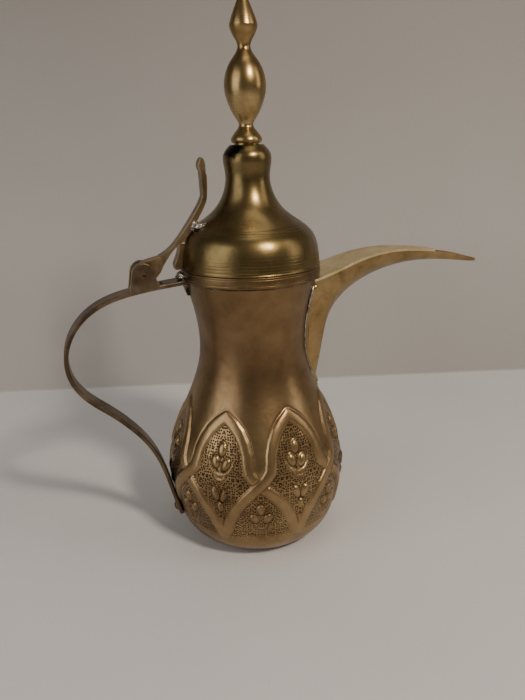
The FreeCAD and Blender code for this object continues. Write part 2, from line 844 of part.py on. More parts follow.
lid_envelope = make_lid_envelope()
thumb_lever = make_thumb_lever(lid_envelope)

pieces = [
    body_shell,
    make_base_plate(),
    collar,
    collar_solder,
    handle,
    handle_rivet,
    handle_saddle,
    handle_solder,
    make_hinge_pin(),
    make_lid_dome(),
    make_lid_skirt(),
    thumb_lever,
    make_lid_strap(lid_envelope, thumb_lever),
    make_lever_solder(lid_envelope, thumb_lever),
    make_finial(),
    make_finial_stud(),
    make_washer(),
    make_nut(),
] + spout_parts

doc.recompute()
for item in doc.Objects:
    if "Invalid" in item.State or "Error" in item.State:
        raise RuntimeError("%s failed: %s" % (item.Label, item.State))
os.makedirs("parts", exist_ok=True)
for piece in pieces:
    if piece.Shape.isNull() or not piece.Shape.isValid() or not piece.Shape.Solids:
        raise RuntimeError("%s has no valid solid" % piece.Label)
for piece in pieces:
    piece.Shape.exportStep("parts/%s.step" % piece.Label)
    print("%-16s solids %d volume %.1f" % (piece.Label, len(piece.Shape.Solids), piece.Shape.Volume))
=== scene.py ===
import math

import bmesh
import bpy
import numpy as np
from mathutils import Matrix, Vector


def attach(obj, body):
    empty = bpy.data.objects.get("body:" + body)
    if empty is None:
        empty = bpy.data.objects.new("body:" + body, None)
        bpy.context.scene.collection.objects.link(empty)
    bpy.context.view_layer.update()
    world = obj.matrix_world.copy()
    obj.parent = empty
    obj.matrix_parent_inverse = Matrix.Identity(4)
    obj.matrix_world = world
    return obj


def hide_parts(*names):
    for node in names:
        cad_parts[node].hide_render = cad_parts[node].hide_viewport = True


# A dallah in aged brass: an embossed belly, a crescent spout, a strap handle and a
# hinged domed lid with a turned finial.  Metres; the spout points along +X.

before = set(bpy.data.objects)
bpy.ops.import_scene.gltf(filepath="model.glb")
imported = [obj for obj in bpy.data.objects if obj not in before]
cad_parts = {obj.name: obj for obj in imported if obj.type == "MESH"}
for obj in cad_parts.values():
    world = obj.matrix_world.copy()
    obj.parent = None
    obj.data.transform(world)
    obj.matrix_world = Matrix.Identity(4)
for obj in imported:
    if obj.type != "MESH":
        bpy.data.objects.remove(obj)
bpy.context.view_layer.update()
MM = 0.001

# ------------------------------------------------------------------ profiles, in mm
BODY_PROFILE = [(33.8, 0.0), (44.0, 9.4), (49.4, 25.2), (52.1, 47.2), (47.6, 66.1),
                (39.7, 85.0), (31.1, 110.2), (31.7, 135.3), (37.2, 157.4)]
MOUTH_TOP = 162.4
SHEET = 1.0
BASE_R, BASE_THICK = 33.0, 1.5
INNER_LOW, INNER_HIGH = 4.0, 155.0      # the curved part of the body's inner face

LID_PROFILE = [(38.5, 163.6), (38.2, 168.0), (34.3, 180.9), (30.8, 184.4), (19.6, 192.7),
               (12.6, 205.0), (12.0, 212.6), (12.5, 222.0), (8.9, 226.5)]
# Lines cut into the lid while it turned: height, depth and half width of each.
LID_GROOVES = [(165.3, 0.07, 0.22), (167.0, 0.04, 0.20), (168.6, 0.05, 0.20), (170.4, 0.035, 0.22),
               (172.2, 0.03, 0.20), (182.9, 0.07, 0.24), (184.2, 0.15, 0.24), (185.4, 0.12, 0.24)]
STUD_R = 2.0

STRAINER_ROWS = [(106.0, 1), (113.5, 2), (121.0, 3), (128.5, 2), (136.0, 3), (143.5, 2)]
STRAINER_PITCH = 6.5
STRAINER_R = 1.6
PUNCH_AT, PUNCH_LENGTH = 30.0, 24.0     # the punches' middle from the axis, and their length

# ------------------------------------------------------------------ embossing, in mm
REPEATS = 7
CELL = 360.0 / REPEATS
BAND_HALF = 2.8
BAND_RISE = 0.95
BAND_SIDE = 0.60
# Middle of one interlaced band, from the V at the foot to the tall arch's point:
# degrees from the low arch's middle, and height.
BAND_LINE = [(-24.6, 18.6), (-22.9, 22.5), (-19.8, 30.0), (-15.1, 37.5), (-9.3, 44.8),
             (-1.2, 51.7), (3.4, 55.2), (6.6, 59.2), (7.6, 64.0), (8.2, 68.5),
             (10.2, 74.0), (14.0, 79.4), (19.0, 83.4), (25.8, 87.0)]
PANEL_FOOT = 18.5
PANEL_LOW = 19.0
FLOOR_DEPTH = 0.38
EMBOSSED_TOP = 92.0       # the mesh is fine up to here
COLUMNS_PER_ARCH = 68


def smooth_curve(points, step):
    """A natural cubic through the points, spaced by chord, sampled about every step."""
    points = np.array(points, float)
    knots = np.concatenate([[0.0], np.cumsum(np.linalg.norm(np.diff(points, axis=0), axis=1))])
    gaps = np.diff(knots)
    count = len(points)
    system = np.eye(count)
    right = np.zeros((count, 2))
    for i in range(1, count - 1):
        system[i, i - 1:i + 2] = gaps[i - 1], 2 * (gaps[i - 1] + gaps[i]), gaps[i]
        right[i] = 6 * ((points[i + 1] - points[i]) / gaps[i]
                        - (points[i] - points[i - 1]) / gaps[i - 1])
    bend = np.linalg.solve(system, right)
    places = np.linspace(0.0, knots[-1], max(2, int(round(knots[-1] / step))) + 1)
    piece = np.clip(np.searchsorted(knots, places, side="right") - 1, 0, count - 2)
    a = (knots[piece + 1] - places)[:, None]
    b = (places - knots[piece])[:, None]
    g = gaps[piece][:, None]
    return (bend[piece] * a ** 3 / (6 * g) + bend[piece + 1] * b ** 3 / (6 * g)
            + (points[piece] / g - bend[piece] * g / 6) * a
            + (points[piece + 1] / g - bend[piece + 1] * g / 6) * b)


def offset_profile(profile, distance):
    """The profile moved inwards, towards the axis side, by a distance."""
    along = np.gradient(profile, axis=0)
    along /= np.linalg.norm(along, axis=1)[:, None]
    return profile + np.stack([-along[:, 1], along[:, 0]], axis=1) * distance


# ------------------------------------------------------------------ mesh helpers

def new_piece(name, verts, faces, material, body):
    """A mesh with smooth shading and one finish, moving with a body of the frame."""
    mesh = bpy.data.meshes.new(name)
    mesh.from_pydata([tuple(v) for v in verts], [], [tuple(f) for f in faces])
    mesh.materials.append(material)
    mesh.polygons.foreach_set("use_smooth", [True] * len(mesh.polygons))
    mesh.update()
    piece = bpy.data.objects.new(name, mesh)
    bpy.context.scene.collection.objects.link(piece)
    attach(piece, body)
    return piece


def turned_faces(rows, columns, closed_loop):
    """Quads of a turned grid with rows along the profile; outward when r grows anticlockwise."""
    row = np.arange(rows if closed_loop else rows - 1)
    col = np.arange(columns)
    r, c = np.meshgrid(row, col, indexing="ij")
    nxt = (c + 1) % columns
    up = (r + 1) % rows
    return np.stack([r * columns + c, r * columns + nxt, up * columns + nxt, up * columns + c],
                    axis=-1).reshape(-1, 4)


def set_attribute(piece, name, values):
    layer = piece.data.attributes.new(name, "FLOAT", "POINT")
    layer.data.foreach_set("value", np.asarray(values, np.float32))


def smoothstep(low, high, value):
    t = np.clip((value - low) / (high - low), 0.0, 1.0)
    return t * t * (3 - 2 * t)


# ------------------------------------------------------------------ relief of the belly

def band_distance(angle, height, radius, line):
    """Distance in mm from a band's middle line, measured on the wall."""
    best = np.full(angle.shape, 1e9)
    per_degree = radius * math.pi / 180.0
    for (a0, z0), (a1, z1) in zip(line[:-1], line[1:]):
        px, pz = (angle - a0) * per_degree, height - z0
        sx, sz = (a1 - a0) * per_degree, z1 - z0
        t = np.clip((px * sx + pz * sz) / (sx * sx + sz * sz), 0.0, 1.0)
        best = np.minimum(best, np.hypot(px - t * sx, pz - t * sz))
    return best


def band_form(distance):
    """Height of a band: nearly flat, its edges rounded over, with a chased line each side."""
    across = np.clip(distance / BAND_HALF, 0.0, 1.0)
    strap = BAND_SIDE + (BAND_RISE - BAND_SIDE) * (1.0 - across ** 3)
    edge = 1.0 - smoothstep(BAND_HALF - 0.55, BAND_HALF + 0.35, distance)
    beside = -0.42 * np.exp(-((distance - BAND_HALF - 0.5) / 0.36) ** 2)
    within = -0.13 * np.exp(-((distance - BAND_HALF + 0.95) / 0.26) ** 2)
    return strap * edge + beside + within * edge


def bud(across, up, x, z, wide, tall, lean):
    """An oval bud raised from the ground, with a chased outline."""
    c, s = math.cos(math.radians(lean)), math.sin(math.radians(lean))
    dx, dz = across - x, up - z
    u = (dx * c + dz * s) / (wide / 2)
    v = (-dx * s + dz * c) / (tall / 2)
    rho = np.hypot(u, v * (1.0 + 0.12 * np.sign(v)))
    dome = 1.25 * np.clip(1.0 - rho ** 2.4, 0.0, 1.0) ** 0.6
    ditch = -0.40 * np.exp(-((rho - 1.14) / 0.13) ** 2)
    return dome + ditch


def arc_ridge(across, up, x, z, radius, spread):
    """A raised curved line below its centre, open at the top."""
    dx, dz = across - x, up - z
    reach = np.abs(np.degrees(np.arctan2(dx, -dz)))
    fade = 1.0 - smoothstep(spread - 8.0, spread + 4.0, reach)
    gap = np.hypot(dx, dz) - radius
    return fade * (0.55 * np.exp(-(gap / 0.5) ** 2) - 0.22 * np.exp(-((gap + 1.15) / 0.4) ** 2))


def tall_motif(across, up):
    """Three buds in a cup, a crescent under them and a three-leafed flower below."""
    rise = bud(across, up, 0.2, 71.0, 4.6, 7.2, -6)
    rise = rise + bud(across, up, -3.3, 64.6, 4.5, 6.8, 14)
    rise = rise + bud(across, up, 3.3, 63.4, 4.6, 7.0, -24)
    rise = rise + arc_ridge(across, up, 0.0, 64.2, 7.0, 92)
    rise = rise + arc_ridge(across, up, 0.0, 57.6, 3.2, 80)
    rise = rise + bud(across, up, -2.7, 46.6, 3.8, 8.0, 20)
    rise = rise + bud(across, up, 2.7, 46.0, 3.8, 8.2, -18)
    rise = rise + bud(across, up, 0.1, 38.4, 3.4, 6.4, 2)
    return rise


def low_motif(across, up):
    """Three buds over crescents in the low arch."""
    rise = bud(across, up, 0.0, 38.2, 4.6, 7.0, 3)
    rise = rise + bud(across, up, -3.9, 32.0, 4.2, 6.4, 28)
    rise = rise + bud(across, up, 3.9, 31.8, 4.4, 6.6, -24)
    for radius, rim in ((3.4, 84), (6.2, 74)):
        rise = rise + arc_ridge(across, up, 0.0, 28.0, radius, rim)
    return rise


def relief(angle, height, radius):
    """Rise in mm, and how much of the punched ground shows, at each place on the wall."""
    cell = np.round(angle / CELL)
    local = angle - cell * CELL
    degrees, heights = zip(*BAND_LINE)
    band_at = np.interp(height, heights, degrees)
    side = np.abs(local)
    over = band_distance(local, height, radius, BAND_LINE)
    under = band_distance(-local, height, radius, BAND_LINE)
    rim = np.minimum(over, under)

    inside_tall = (side > np.abs(band_at)) & (height > PANEL_LOW) & (height < heights[-1])
    inside_low = (side < -band_at) & (height > PANEL_FOOT - 2.0)
    clear = smoothstep(BAND_HALF + 0.35, BAND_HALF + 1.0, rim)
    per_degree = radius * math.pi / 180.0
    foot = smoothstep(PANEL_FOOT - 1.0, PANEL_FOOT + 1.2,
                      height + 0.012 * (local * per_degree) ** 2 * 0.5)
    floor = np.where(inside_tall, clear, 0.0) + np.where(inside_low, clear * foot, 0.0)

    tall_across = (side - CELL / 2) * np.sign(local) * per_degree
    tall = tall_motif(tall_across, height) * np.where(inside_tall, clear, 0.0)
    low = low_motif(local * per_degree, height) * np.where(inside_low, clear * foot, 0.0)

    cross_gap = smoothstep(BAND_HALF + 0.2, BAND_HALF + 0.75, over)
    rise = np.where(over < under, band_form(over), band_form(under) * cross_gap
                    + band_form(over) * (1.0 - cross_gap))
    near_cross = over < BAND_HALF + 0.2
    rise = np.where(near_cross, band_form(over), rise)
    worked_up = smoothstep(0.04, 0.20, np.abs(tall + low))
    ground = floor * (1.0 - worked_up)
    rise = rise - FLOOR_DEPTH * floor + tall + low
    fade = smoothstep(14.5, 19.5, height)
    # the relief dies softly into the plain foot
    return rise * fade, ground * fade


def flatten_under(angle, height, rise):
    """Presses the relief flat where the handle's foot lies on the wall."""
    behind = np.abs(angle % 360.0 - 180.0)
    pressed = (1.0 - smoothstep(6.5, 8.5, behind)) * (1.0 - smoothstep(33.0, 36.0, height))
    return rise * (1.0 - pressed) + np.minimum(rise, 0.0) * pressed


# ------------------------------------------------------------------ materials

# Heights in metres between which the painted shade of the neck comes in: darker brass standing for the
# dark room that the neck reflects.
NECK_SHADE_FROM, NECK_SHADE_FULL = 0.078, 0.118


def linear(colour):
    """Linear RGBA from an sRGB hex colour."""
    values = [int(colour[i:i + 2], 16) / 255.0 for i in (1, 3, 5)]
    return [v / 12.92 if v <= 0.04045 else ((v + 0.055) / 1.055) ** 2.4 for v in values] + [1.0]


def add_node(tree, kind, inputs=None, stops=(), **settings):
    """Adds one node with its settings, ramp stops, fixed inputs and links."""
    node = tree.nodes.new(kind)
    for key, value in settings.items():
        setattr(node, key, value)
    for index, (place, colour) in enumerate(stops):
        ramp = node.color_ramp
        element = ramp.elements[index] if index < 2 else ramp.elements.new(place)
        element.position = place
        element.color = linear(colour)
    for key, value in (inputs or {}).items():
        if isinstance(value, bpy.types.NodeSocket):
            tree.links.new(value, node.inputs[key])
        else:
            node.inputs[key].default_value = value
    return next((out for out in node.outputs if out.enabled), node)


def shader_base(name, metallic):
    """An empty material with its shader, its output and object coordinates."""
    material = bpy.data.materials.new(name)
    material.use_nodes = True
    tree = material.node_tree
    tree.nodes.clear()
    shader = add_node(tree, "ShaderNodeBsdfPrincipled", {"Metallic": metallic}).node
    add_node(tree, "ShaderNodeOutputMaterial", {"Surface": shader.outputs["BSDF"]})
    place = add_node(tree, "ShaderNodeTexCoord").node.outputs["Object"]
    return material, tree, shader, place


def finish_shader(tree, shader, colour, roughness, height, edge=0.0):
    """Joins colour, roughness and surface height to the shader, over softly rounded edges."""
    values = {"Height": height, "Strength": 1.0, "Distance": 1.0}
    if edge:
        values["Normal"] = add_node(tree, "ShaderNodeBevel", {"Radius": edge}, samples=4)
    bump = add_node(tree, "ShaderNodeBump", values)
    tree.links.new(colour, shader.inputs["Base Color"])
    tree.links.new(roughness, shader.inputs["Roughness"])
    tree.links.new(bump, shader.inputs["Normal"])


def aged_brass(name, bright, middle, dark, rough=0.34, rings=0.0, brushed=None,
               embossed=False, dents=0.00010, edge=0.0, smoke=None):
    """Old brass: polish worn through to warm metal, brown tarnish in clouds and specks.

    Rings are the fine tool lines of a turned piece; a brushed one shows lines along one
    direction; an embossed one shows punched dots, dark in the pits and bright on raised
    work, and its plain neck darkened upwards as painted shade; an edge is rounded over
    and rubbed bright; smoke is where a black stain lies.
    """
    material, tree, shader, place = shader_base(name, 1.0)
    clouds = add_node(tree, "ShaderNodeTexNoise", {
        "Vector": place, "Scale": 24.0, "Detail": 4.0, "Roughness": 0.55, "Distortion": 0.8})
    patches = add_node(tree, "ShaderNodeTexNoise", {
        "Vector": place, "Scale": 110.0, "Detail": 5.0, "Roughness": 0.62, "Distortion": 0.4})
    specks = add_node(tree, "ShaderNodeTexNoise", {
        "Vector": place, "Scale": 1100.0, "Detail": 3.0, "Roughness": 0.7})
    share = add_node(tree, "ShaderNodeMath", {0: clouds, 1: 0.62}, operation="MULTIPLY")
    tarnish = add_node(tree, "ShaderNodeMath", {0: patches, 1: 0.38, 2: share},
                       operation="MULTIPLY_ADD")
    colour = add_node(tree, "ShaderNodeValToRGB", {"Fac": tarnish},
                      stops=[(0.32, dark), (0.47, middle), (0.64, bright)])
    fleck = add_node(tree, "ShaderNodeMath", {0: specks, 1: 4.0, 2: -2.4},
                     operation="MULTIPLY_ADD", use_clamp=True)
    spotting = add_node(tree, "ShaderNodeMath", {0: fleck, 1: 0.35}, operation="MULTIPLY")
    colour = add_node(tree, "ShaderNodeMix", {0: spotting, 6: colour, 7: linear(dark)},
                      data_type="RGBA")
    dull = add_node(tree, "ShaderNodeMath", {0: tarnish, 1: -0.24, 2: rough + 0.12},
                    operation="MULTIPLY_ADD")
    roughness = add_node(tree, "ShaderNodeMath", {0: fleck, 1: 0.10, 2: dull},
                         operation="MULTIPLY_ADD")
    soft = add_node(tree, "ShaderNodeTexNoise", {"Vector": place, "Scale": 150.0, "Detail": 2.0})
    height = add_node(tree, "ShaderNodeMath", {0: soft, 1: dents}, operation="MULTIPLY")
    if rings:
        parts = add_node(tree, "ShaderNodeSeparateXYZ", {"Vector": place}).node
        flat = add_node(tree, "ShaderNodeCombineXYZ",
                        {"X": parts.outputs["X"], "Y": parts.outputs["Y"]})
        reach = add_node(tree, "ShaderNodeVectorMath", {0: flat}, operation="LENGTH")
        across = add_node(tree, "ShaderNodeCombineXYZ", {"X": reach, "Z": parts.outputs["Z"]})
        lines = add_node(tree, "ShaderNodeTexNoise", {
            "Vector": across, "Scale": 1900.0, "Detail": 3.0, "Roughness": 0.7})
        height = add_node(tree, "ShaderNodeMath", {0: lines, 1: rings, 2: height},
                          operation="MULTIPLY_ADD")
        streak = add_node(tree, "ShaderNodeMath", {0: lines, 1: 0.10, 2: -0.05},
                          operation="MULTIPLY_ADD")
        roughness = add_node(tree, "ShaderNodeMath", {0: roughness, 1: streak}, operation="ADD")
    if brushed is not None:
        along = add_node(tree, "ShaderNodeMapping", {"Vector": place, "Scale": brushed})
        lines = add_node(tree, "ShaderNodeTexNoise", {
            "Vector": along, "Scale": 2200.0, "Detail": 4.0, "Roughness": 0.75})
        height = add_node(tree, "ShaderNodeMath", {0: lines, 1: 0.00010, 2: height},
                          operation="MULTIPLY_ADD")
        streak = add_node(tree, "ShaderNodeMath", {0: lines, 1: 0.4, 2: -0.2},
                          operation="MULTIPLY_ADD")
        roughness = add_node(tree, "ShaderNodeMath", {0: roughness, 1: streak}, operation="ADD")
    if embossed:
        # the plain neck is darkened upwards as painted shade, standing for the dark room that it
        # reflects
        level = add_node(tree, "ShaderNodeSeparateXYZ", {"Vector": place}).node.outputs["Z"]
        neck = add_node(tree, "ShaderNodeMapRange", {
            "Value": level, "From Min": NECK_SHADE_FROM, "From Max": NECK_SHADE_FULL,
            "To Min": 0.0, "To Max": 0.62})
        colour = add_node(tree, "ShaderNodeMix", {0: neck, 6: colour, 7: linear(dark)},
                          data_type="RGBA")
        ground = add_node(tree, "ShaderNodeAttribute", attribute_name="ground").node.outputs["Fac"]
        rise = add_node(tree, "ShaderNodeAttribute", attribute_name="rise").node.outputs["Fac"]
        across = add_node(tree, "ShaderNodeAttribute", attribute_name="across").node.outputs["Fac"]
        up = add_node(tree, "ShaderNodeAttribute", attribute_name="up").node.outputs["Fac"]
        on_wall = add_node(tree, "ShaderNodeCombineXYZ", {"X": across, "Y": up})
        # punched dots 1.4 mm apart, measured on the wall in mm
        dots = add_node(tree, "ShaderNodeTexVoronoi",
                        {"Vector": on_wall, "Scale": 0.72, "Randomness": 0.6},
                        voronoi_dimensions="2D")
        round_pit = add_node(tree, "ShaderNodeMapRange", {
            "Value": dots, "From Min": 0.37, "From Max": 0.24, "To Min": 0.0, "To Max": 1.0})
        pit = add_node(tree, "ShaderNodeMath", {0: round_pit, 1: ground}, operation="MULTIPLY")
        height = add_node(tree, "ShaderNodeMath", {0: pit, 1: -0.00040, 2: height},
                          operation="MULTIPLY_ADD")
        filled = add_node(tree, "ShaderNodeMath", {0: pit, 1: 0.92}, operation="MULTIPLY")
        colour = add_node(tree, "ShaderNodeMix", {0: filled, 6: colour, 7: linear("#1d1309")},
                          data_type="RGBA")
        hollow = add_node(tree, "ShaderNodeMapRange", {
            "Value": rise, "From Min": -0.40, "From Max": -0.72, "To Min": 0.0, "To Max": 0.8})
        colour = add_node(tree, "ShaderNodeMix", {0: hollow, 6: colour, 7: linear("#2a1c10")},
                          data_type="RGBA")
        worn = add_node(tree, "ShaderNodeMapRange", {
            "Value": rise, "From Min": 0.45, "From Max": 1.3, "To Min": 0.0, "To Max": 0.5})
        colour = add_node(tree, "ShaderNodeMix", {0: worn, 6: colour, 7: linear(bright)},
                          data_type="RGBA")
        roughness = add_node(tree, "ShaderNodeMath", {0: hollow, 1: 0.3, 2: roughness},
                             operation="MULTIPLY_ADD")
    if edge:
        rounded = add_node(tree, "ShaderNodeBevel", {"Radius": edge * 1.6}, samples=4)
        square = add_node(tree, "ShaderNodeNewGeometry").node.outputs["Normal"]
        same = add_node(tree, "ShaderNodeVectorMath", {0: rounded, 1: square},
                        operation="DOT_PRODUCT")
        rubbed = add_node(tree, "ShaderNodeMapRange", {
            "Value": same, "From Min": 0.995, "From Max": 0.86, "To Min": 0.0, "To Max": 0.8})
        patchy = add_node(tree, "ShaderNodeMath", {0: rubbed, 1: patches}, operation="MULTIPLY")
        colour = add_node(tree, "ShaderNodeMix", {0: patchy, 6: colour, 7: linear("#d8bd84")},
                          data_type="RGBA")
    if smoke is not None:
        # a black stain on one side of the stem's shoulder, ragged at its edge
        gap = add_node(tree, "ShaderNodeVectorMath", {0: place, 1: smoke}, operation="DISTANCE")
        ragged = add_node(tree, "ShaderNodeMath", {0: patches, 1: 0.012, 2: gap},
                          operation="MULTIPLY_ADD")
        stain = add_node(tree, "ShaderNodeMapRange", {
            "Value": ragged, "From Min": 0.0132, "From Max": 0.0112, "To Min": 0.0,
            "To Max": 0.95})
        colour = add_node(tree, "ShaderNodeMix", {0: stain, 6: colour, 7: linear("#0d0a08")},
                          data_type="RGBA")
    finish_shader(tree, shader, colour, roughness, height, edge)
    return material


def soft_solder(name, stain, middle, bright):
    """Tin solder wiped on by hand: dull silver grey, lumpy, stained brown at its edges."""
    material, tree, shader, place = shader_base(name, 1.0)
    clouds = add_node(tree, "ShaderNodeTexNoise", {
        "Vector": place, "Scale": 240.0, "Detail": 5.0, "Roughness": 0.65, "Distortion": 0.4})
    colour = add_node(tree, "ShaderNodeValToRGB", {"Fac": clouds},
                      stops=[(0.36, stain), (0.50, middle), (0.70, bright)])
    roughness = add_node(tree, "ShaderNodeMath", {0: clouds, 1: -0.4, 2: 0.58},
                         operation="MULTIPLY_ADD")
    facets = add_node(tree, "ShaderNodeTexVoronoi", {"Vector": place, "Scale": 420.0})
    height = add_node(tree, "ShaderNodeMath", {0: facets, 1: 0.00045}, operation="MULTIPLY")
    finish_shader(tree, shader, colour, roughness, height)
    return material


def painted_board(name, colour, shade, high):
    """A painted white board: matt, very slightly uneven; on a wall, greyer towards the top as painted
    shade.
    """
    material, tree, shader, place = shader_base(name, 0.0)
    clouds = add_node(tree, "ShaderNodeTexNoise", {"Vector": place, "Scale": 5.0, "Detail": 3.0})
    mixed = add_node(tree, "ShaderNodeMix", {0: clouds, 6: linear(colour), 7: linear(shade)},
                     data_type="RGBA")
    # towards the top of a wall the colour turns to the high one: painted shade
    level = add_node(tree, "ShaderNodeSeparateXYZ", {"Vector": place}).node.outputs["Z"]
    upper = add_node(tree, "ShaderNodeMapRange",
                     {"Value": level, "From Min": 0.14, "From Max": 0.42, "To Min": 0.0,
                      "To Max": 1.0})
    mixed = add_node(tree, "ShaderNodeMix", {0: upper, 6: mixed, 7: linear(high)},
                     data_type="RGBA")
    fine = add_node(tree, "ShaderNodeTexNoise", {"Vector": place, "Scale": 900.0, "Detail": 2.0})
    roughness = add_node(tree, "ShaderNodeMath", {0: clouds, 1: 0.1, 2: 0.55},
                         operation="MULTIPLY_ADD")
    height = add_node(tree, "ShaderNodeMath", {0: fine, 1: 0.00003}, operation="MULTIPLY")
    finish_shader(tree, shader, mixed, roughness, height)
    return material


# Raised and chased sheet: satin, rubbed bright on the raised work, brown in the hollows, and darker up
# the plain neck as painted shade.
EMBOSSED_BRASS = aged_brass("embossed_sheet_brass", "#aa9068", "#8e7553", "#664f38",
                            rough=0.34, rings=0.00001, embossed=True, dents=0.00014)
# Spun sheet: smooth olive brown with fine tool rings, blackened at the stem's shoulder.
SPUN_BRASS = aged_brass("spun_sheet_brass", "#8c7750", "#70603e", "#50442c",
                        rough=0.31, rings=0.00001, smoke=(-0.0118, -0.0068, 0.2252))
# A drawn strip bent round the mouth: redder, dull, with rubbed edges.
COLLAR_BRASS = aged_brass("drawn_strip_brass", "#86704e", "#69543a", "#463627",
                          rough=0.36, rings=0.000008)
# Turned from solid bar: the yellowest and brightest metal, with fine rings.
TURNED_BRASS = aged_brass("turned_bar_brass", "#b09a6e", "#92794f", "#684f35",
                          rough=0.29, rings=0.00001, dents=0.00006)
# Filed plate: bright filed metal made paler still as a painted highlight, with long file marks down its
# length.
PAINTED_HIGHLIGHT_FILED_BRASS = aged_brass("filed_plate_brass_painted_highlight", "#f4e6bf", "#e0cc9c", "#b29c6c",
                         rough=0.40, brushed=(0.06, 1.0, 1.0), edge=0.0002)
# Hand-formed sheet: warm and satin, slightly uneven from the hammer.
FORMED_BRASS = aged_brass("hammered_sheet_brass", "#b0976a", "#8e7650", "#65512f",
                          rough=0.32, dents=0.00018, edge=0.0002)
# Hand-forged strap: grey brown from handling, only its edges rubbed bright.
FORGED_BRASS = aged_brass("forged_strap_brass", "#80705a", "#5c4d3c", "#382d24",
                          rough=0.38, dents=0.00030, edge=0.0004)
# Filed lever: as the handle, with short cross marks left by the file.
LEVER_BRASS = aged_brass("filed_strap_brass", "#a58f6c", "#6f5c44", "#43362b",
                         rough=0.34, brushed=(1.0, 0.05, 1.0), dents=0.00020, edge=0.0006)
# Wiped tin: bright facets of grey metal between brown flux stains.
SOLDER = soft_solder("wiped_tin_solder", "#6a5d4d", "#a09b91", "#dedcd6")
# The same tin under old tarnish: brown, with a little grey left.
OLD_SOLDER = soft_solder("tarnished_tin_solder", "#3f3125", "#5c4a38", "#8f8474")
# Drawn wire: dark and dull from wear in its hole.
PIN_BRASS = aged_brass("drawn_wire_brass", "#6b5a43", "#4b3c2a", "#2a2018", rough=0.45)


# ------------------------------------------------------------------ pieces

OUTER = smooth_curve(BODY_PROFILE, 0.64)


def turned_piece(name, loop, columns, material, body, node):
    """A closed outline in radius and height turned about Z, in place of a plain part."""
    turn = np.arange(columns) * (2.0 * math.pi / columns)
    verts = np.stack([np.outer(loop[:, 0], np.cos(turn)), np.outer(loop[:, 0], np.sin(turn)),
                      np.outer(loop[:, 1], np.ones(columns))], axis=-1)
    piece = new_piece(name, verts.reshape(-1, 3) * MM,
                      turned_faces(len(loop), columns, True), material, body)
    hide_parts(node)
    return piece


def make_belly():
    """The body: one raised and chased sheet, embossed below and plain above."""
    heights = OUTER[:, 1]
    fine = heights < EMBOSSED_TOP
    plain = np.where(~fine)[0][::5]
    if plain[-1] != len(OUTER) - 1:
        plain = np.append(plain, len(OUTER) - 1)
    rows = np.concatenate([OUTER[fine], OUTER[plain]])
    inner = offset_profile(smooth_curve(BODY_PROFILE, 8.0), SHEET)
    inner = inner[(inner[:, 1] > INNER_LOW) & (inner[:, 1] < INNER_HIGH)][::-1]
    mouth_r, neck_top = BODY_PROFILE[-1]
    edge = np.array([[mouth_r, MOUTH_TOP], [mouth_r - SHEET, MOUTH_TOP],
                     [mouth_r - SHEET, neck_top]])
    closing = np.array([[BASE_R, BASE_THICK], [BASE_R, 0.0]])
    loop = np.concatenate([rows, edge, inner, closing])
    columns = REPEATS * COLUMNS_PER_ARCH
    angles = np.arange(columns) * (360.0 / columns)
    radius = loop[:, 0][:, None] * np.ones(columns)[None, :]
    height = loop[:, 1][:, None] * np.ones(columns)[None, :]
    angle = np.ones(len(loop))[:, None] * angles[None, :]
    rise = np.zeros_like(radius)
    ground = np.zeros_like(radius)
    worked = len(rows)
    raised, punched = relief(angle[:worked], height[:worked], radius[:worked])
    rise[:worked] = flatten_under(angle[:worked], height[:worked], raised)
    ground[:worked] = punched
    rise[0] = 0.0             # the lowest edge stays a true circle on the table
    radius = radius + rise
    turn = np.radians(angle)
    verts = np.stack([radius * np.cos(turn), radius * np.sin(turn), height], axis=-1)
    faces = turned_faces(len(loop), columns, True)
    piece = new_piece("embossed_body", verts.reshape(-1, 3) * MM, faces, EMBOSSED_BRASS, "pot")
    set_attribute(piece, "ground", ground.reshape(-1))
    set_attribute(piece, "rise", rise.reshape(-1))
    local = np.abs(angle - np.round(angle / CELL) * CELL)
    set_attribute(piece, "across", (local * loop[:, 0][:, None] * math.pi / 180.0).reshape(-1))
    set_attribute(piece, "up", height.reshape(-1))
    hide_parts("body_shell")
    return piece


def strainer_punches():
    """Round punches through the neck, set out by a node tree with its sizes as inputs."""
    places = [(PUNCH_AT * MM, (hole - (count - 1) / 2.0) * STRAINER_PITCH * MM, z * MM)
              for z, count in STRAINER_ROWS for hole in range(count)]
    mesh = bpy.data.meshes.new("punch_places")
    mesh.from_pydata(places, [], [])
    punches = bpy.data.objects.new("punch_places", mesh)
    bpy.context.scene.collection.objects.link(punches)

    tree = bpy.data.node_groups.new("strainer_punches", "GeometryNodeTree")
    sockets = {}
    tree.interface.new_socket("Places", in_out="INPUT", socket_type="NodeSocketGeometry")
    for label in ("Punch Radius", "Punch Length"):
        sockets[label] = tree.interface.new_socket(label, in_out="INPUT",
                                                   socket_type="NodeSocketFloat").identifier
    tree.interface.new_socket("Punches", in_out="OUTPUT", socket_type="NodeSocketGeometry")
    start = add_node(tree, "NodeGroupInput").node
    rod = add_node(tree, "GeometryNodeMeshCylinder", {
        "Radius": start.outputs["Punch Radius"], "Depth": start.outputs["Punch Length"],
        "Vertices": 28})
    points = add_node(tree, "GeometryNodeMeshToPoints", {"Mesh": start.outputs["Places"]})
    placed = add_node(tree, "GeometryNodeInstanceOnPoints", {
        "Points": points, "Instance": rod, "Rotation": (0.0, math.pi / 2, 0.0)})
    real = add_node(tree, "GeometryNodeRealizeInstances", {"Geometry": placed})
    painted = add_node(tree, "GeometryNodeSetMaterial",
                       {"Geometry": real, "Material": EMBOSSED_BRASS})
    add_node(tree, "NodeGroupOutput", {"Punches": painted})

    modifier = punches.modifiers.new("punches", "NODES")
    modifier.node_group = tree
    modifier[sockets["Punch Radius"]] = STRAINER_R * MM
    modifier[sockets["Punch Length"]] = PUNCH_LENGTH * MM
    graph = bpy.context.evaluated_depsgraph_get()
    made = bpy.data.meshes.new_from_object(punches.evaluated_get(graph))
    punches.modifiers.clear()
    punches.data = made
    return punches


